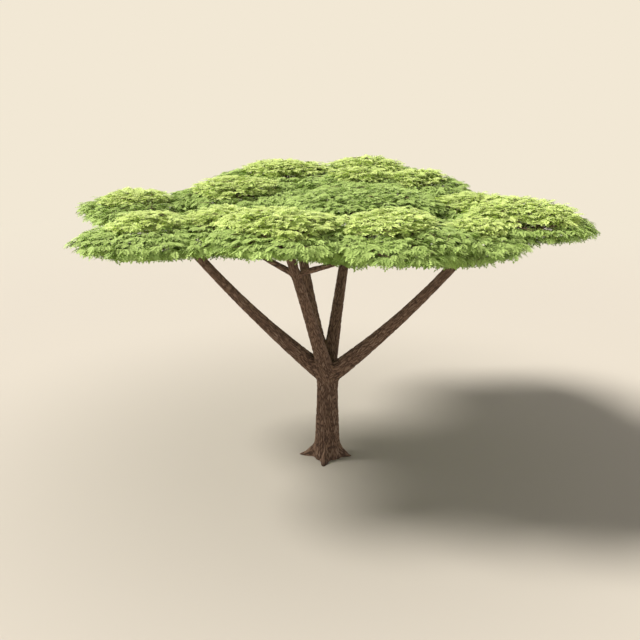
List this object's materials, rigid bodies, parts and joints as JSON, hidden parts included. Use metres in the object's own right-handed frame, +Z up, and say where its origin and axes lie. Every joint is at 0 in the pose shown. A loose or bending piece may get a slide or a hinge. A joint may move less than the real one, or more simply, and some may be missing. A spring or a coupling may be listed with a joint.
{
  "type": "umbrella acacia tree",
  "caption": "Umbrella acacia with a short flared trunk, a low fork, rising boughs and a wide, flat, layered crown of fine foliage.",
  "frame": {"origin": "middle of the flat cut under the trunk, at ground level", "axes": "+Z up; the crown is widest along X; -Y is the side that is seen from the front"},
  "size_m": [10.4037, 8.653, 6.0615],
  "materials": {
    "bark": "rough fissured bark",
    "foliage": "matte leaves",
    "new_growth": "matte young leaves"
  },
  "bodies": {
    "root": {"trunk": "bark", "bough_back_left": "bark", "bough_back_right": "bark", "bough_front": "bark", "bough_left": "bark", "bough_right": "bark", "limb_back_left": "bark", "limb_back_outer": "bark", "limb_back_right": "bark", "limb_centre": "bark", "limb_front_inner": "bark", "limb_front_right": "bark", "limb_inner_left": "bark", "limb_inner_right": "bark", "limb_left_back": "bark", "limb_right": "bark", "limb_right_back": "bark", "foliage_back_left": "foliage", "foliage_back_middle": "foliage", "foliage_back_outer": "foliage", "foliage_back_right": "foliage", "foliage_centre": "foliage", "foliage_front_inner": "foliage", "foliage_front_left": "foliage", "foliage_front_middle": "foliage", "foliage_front_right": "foliage", "foliage_inner_left": "foliage", "foliage_inner_right": "foliage", "foliage_left_back": "foliage", "foliage_left_front": "foliage", "foliage_middle_left": "foliage", "foliage_right": "foliage", "foliage_right_back": "foliage", "foliage_right_front": "foliage", "new_growth_back_left": "new_growth", "new_growth_back_middle": "new_growth", "new_growth_back_outer": "new_growth", "new_growth_back_right": "new_growth", "new_growth_front_inner": "new_growth", "new_growth_front_left": "new_growth", "new_growth_front_right": "new_growth", "new_growth_left_back": "new_growth", "new_growth_left_front": "new_growth", "new_growth_middle_left": "new_growth", "new_growth_right": "new_growth", "new_growth_right_back": "new_growth", "new_growth_right_front": "new_growth"}
  },
  "joints": []
}
